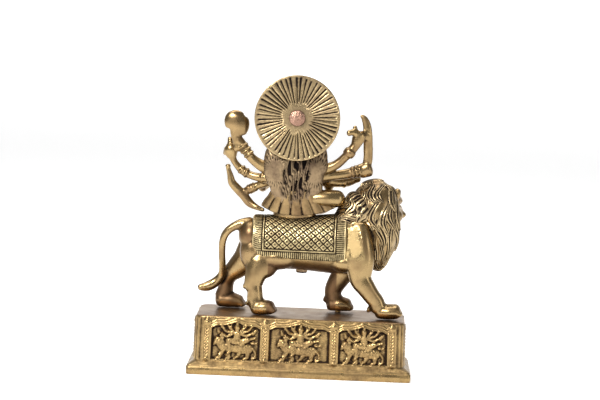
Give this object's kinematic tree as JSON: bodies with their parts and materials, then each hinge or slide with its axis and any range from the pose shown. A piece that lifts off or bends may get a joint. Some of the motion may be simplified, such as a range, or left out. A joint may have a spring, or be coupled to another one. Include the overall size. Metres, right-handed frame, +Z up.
{
  "type": "durga on lion statuette",
  "caption": "Durga seated sideways on a striding lion, with a fluted halo and weapons in her hands, on a hollow box plinth with arched relief panels, in cast brass.",
  "frame": {"origin": "middle of the plinth's underside, at the height it stands on", "axes": "+Z up; X along the plinth, with the lion walking towards -X; the goddess faces -Y and shows her back to +Y"},
  "size_m": [0.222, 0.09, 0.2978],
  "materials": {
    "plinth": "cast, browned in the hollows and rubbed bright on the raised carving",
    "lion": "polished, browned in the mane's grooves",
    "durga": "polished, browned between strands and folds",
    "halo": "filed bright, dark in the flutes",
    "halo_rivet": "coppery, stippled",
    "belly_nut": "dark, aged",
    "paw_spacer": "polished"
  },
  "bodies": {
    "root": {"plinth": "plinth", "lion": "lion", "durga": "durga", "halo": "halo", "halo_rivet": "halo_rivet", "belly_nut": "belly_nut", "paw_spacer": "paw_spacer"}
  },
  "joints": []
}
